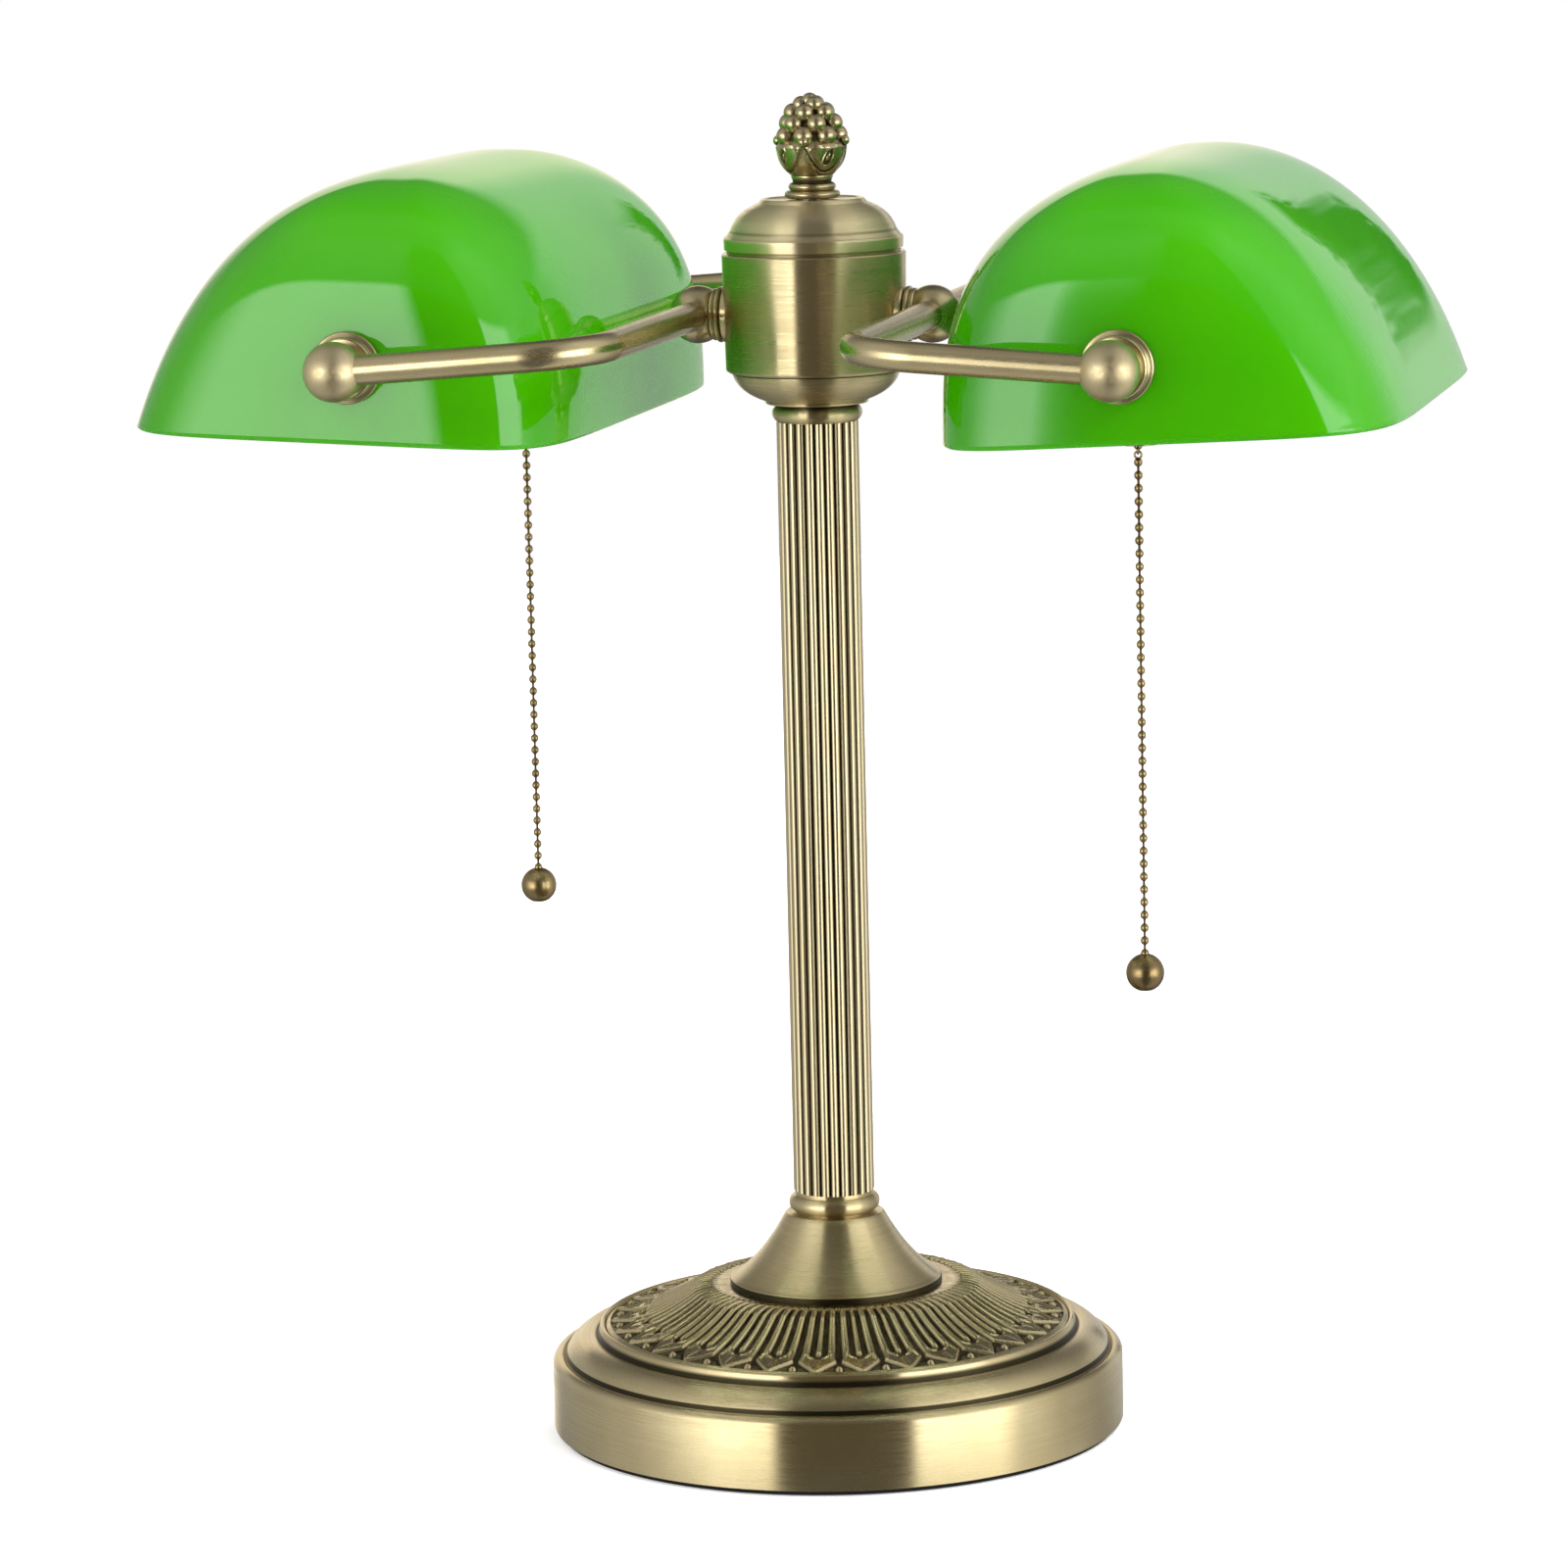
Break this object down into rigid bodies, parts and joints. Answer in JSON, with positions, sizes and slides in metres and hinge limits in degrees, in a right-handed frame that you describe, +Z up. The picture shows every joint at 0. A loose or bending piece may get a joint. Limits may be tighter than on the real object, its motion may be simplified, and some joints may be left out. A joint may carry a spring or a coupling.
{
  "type": "desk lamp",
  "caption": "Banker's desk lamp with a fluted brass column and two tilting green glass shades on swivelling yokes, each switched by a pull chain.",
  "frame": {"origin": "middle of the underside of the base, on the surface that the lamp stands on", "axes": "+Z up along the column; +X towards the right head, -Y towards the front"},
  "size_m": [0.375, 0.2686, 0.407],
  "materials": {
    "antique_brass": "satin, brushed round the turned parts, darker in the recesses",
    "dark_brass": "mottled antique patina",
    "steel": "satin",
    "green_glass": "gloss, green cased over white",
    "felt": "matt",
    "iron": "rough cast",
    "black_plastic": "matt",
    "ivory_plastic": "matt",
    "rubber": "matt",
    "bulb_glass": "frosted white"
  },
  "bodies": {
    "stand": {"felt_pad": "felt", "base_weight": "iron", "base_shell": "antique_brass", "cord_bushing": "black_plastic", "lotus_plate": "antique_brass", "column_foot": "antique_brass", "lower_collar": "antique_brass", "column": "antique_brass", "tie_rod": "steel", "rod_washers": "steel", "rod_locknuts": "steel", "upper_collar": "antique_brass", "hub_bowl": "antique_brass", "hub_body": "antique_brass", "hub_cap": "antique_brass", "finial": "antique_brass", "wire_connectors": "ivory_plastic", "hub_seats": "antique_brass"},
    "right_yoke": {"right_swivel_collar": "antique_brass", "right_swivel_stud": "steel", "right_swivel_washer": "steel", "right_swivel_nut": "steel", "right_knuckle": "antique_brass", "right_yoke_tube": "antique_brass", "right_ball_joints": "antique_brass"},
    "right_head": {"right_shade": "green_glass", "right_rosettes": "antique_brass", "right_gaskets": "rubber", "right_socket_nipple": "steel", "right_pivot_stud": "steel", "right_stud_nut": "steel", "right_socket_cap": "antique_brass", "right_socket_shell": "dark_brass", "right_chain_guide": "dark_brass", "right_bulb": "bulb_glass"},
    "right_pull": {"right_pull_rod": "dark_brass"},
    "right_link": {"right_pull_link": "dark_brass"},
    "right_chain": {"right_pull_chain": "dark_brass", "right_pull_ball": "dark_brass"},
    "left_yoke": {"left_swivel_collar": "antique_brass", "left_swivel_stud": "steel", "left_swivel_washer": "steel", "left_swivel_nut": "steel", "left_knuckle": "antique_brass", "left_yoke_tube": "antique_brass", "left_ball_joints": "antique_brass"},
    "left_head": {"left_shade": "green_glass", "left_rosettes": "antique_brass", "left_gaskets": "rubber", "left_socket_nipple": "steel", "left_pivot_stud": "steel", "left_stud_nut": "steel", "left_socket_cap": "antique_brass", "left_socket_shell": "dark_brass", "left_chain_guide": "dark_brass", "left_bulb": "bulb_glass"},
    "left_pull": {"left_pull_rod": "dark_brass"},
    "left_link": {"left_pull_link": "dark_brass"},
    "left_chain": {"left_pull_chain": "dark_brass", "left_pull_ball": "dark_brass"}
  },
  "joints": [
    {"name": "right_swivel", "type": "hinge", "parent": "stand", "child": "right_yoke", "pos_m": [0.0281, 0, 0.34094], "axis": [1, 0, 0], "range_deg": [-20, 20]},
    {"name": "right_tilt", "type": "hinge", "parent": "right_yoke", "child": "right_head", "pos_m": [0.1119, 0, 0.33554], "axis": [0, 1, 0], "range_deg": [-40, 40]},
    {"name": "right_pull_switch", "type": "slide", "parent": "right_head", "child": "right_pull", "axis": [0, 0, -1], "range_m": [0, 0.008], "stiffness_N_per_m": 300, "springref_m": -0.003},
    {"name": "right_link_swing", "type": "hinge", "parent": "right_pull", "child": "right_link", "pos_m": [0.1084, -0.0619, 0.3082], "axis": [0, 1, 0], "range_deg": [-45, 45]},
    {"name": "right_chain_swing", "type": "hinge", "parent": "right_link", "child": "right_chain", "pos_m": [0.1084, -0.0619, 0.30685], "axis": [1, 0, 0], "range_deg": [-25, 25]},
    {"name": "left_swivel", "type": "hinge", "parent": "stand", "child": "left_yoke", "pos_m": [-0.0281, 0, 0.34094], "axis": [-1, 0, 0], "range_deg": [-20, 20]},
    {"name": "left_tilt", "type": "hinge", "parent": "left_yoke", "child": "left_head", "pos_m": [-0.1119, 0, 0.33554], "axis": [0, -1, 0], "range_deg": [-40, 40]},
    {"name": "left_pull_switch", "type": "slide", "parent": "left_head", "child": "left_pull", "axis": [0, 0, -1], "range_m": [0, 0.008], "stiffness_N_per_m": 300, "springref_m": -0.003},
    {"name": "left_link_swing", "type": "hinge", "parent": "left_pull", "child": "left_link", "pos_m": [-0.1084, 0.0619, 0.3082], "axis": [0, -1, 0], "range_deg": [-45, 45]},
    {"name": "left_chain_swing", "type": "hinge", "parent": "left_link", "child": "left_chain", "pos_m": [-0.1084, 0.0619, 0.30685], "axis": [-1, 0, 0], "range_deg": [-25, 25]}
  ],
  "couplings": [
    {"joint": "right_link_swing", "follows": "right_tilt", "ratio": -1},
    {"joint": "right_chain_swing", "follows": "right_swivel", "ratio": -1},
    {"joint": "left_link_swing", "follows": "left_tilt", "ratio": -1},
    {"joint": "left_chain_swing", "follows": "left_swivel", "ratio": -1}
  ]
}
